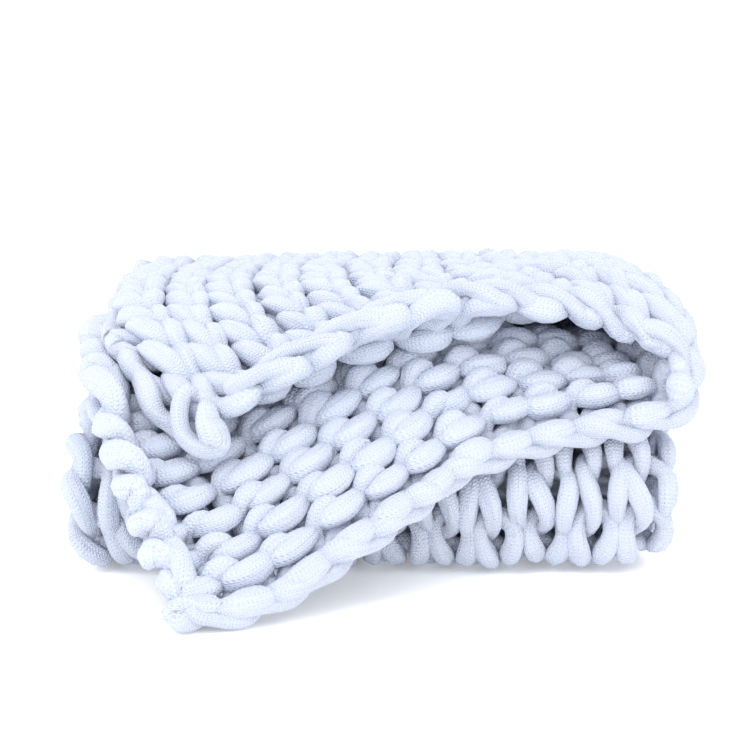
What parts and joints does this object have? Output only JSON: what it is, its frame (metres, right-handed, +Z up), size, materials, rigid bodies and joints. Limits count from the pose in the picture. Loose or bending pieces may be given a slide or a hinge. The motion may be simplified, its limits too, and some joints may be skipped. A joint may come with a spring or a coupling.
{
  "type": "chunky knit throw",
  "caption": "Chunky hand-knit throw in thick pale blue yarn, folded into a stack, with one corner draped forward over the front.",
  "frame": {"origin": "on the surface it lies on, under the middle of the bounding box", "axes": "+Z up, -Y towards the front where the corner drapes, +X towards the lengthwise fold"},
  "size_m": [0.5534, 0.6042, 0.2483],
  "materials": {
    "yarn": "matte jersey tube yarn, about 21 mm thick, knitted in stockinette"
  },
  "bodies": {
    "root": {"knit_throw": "yarn"}
  },
  "joints": []
}
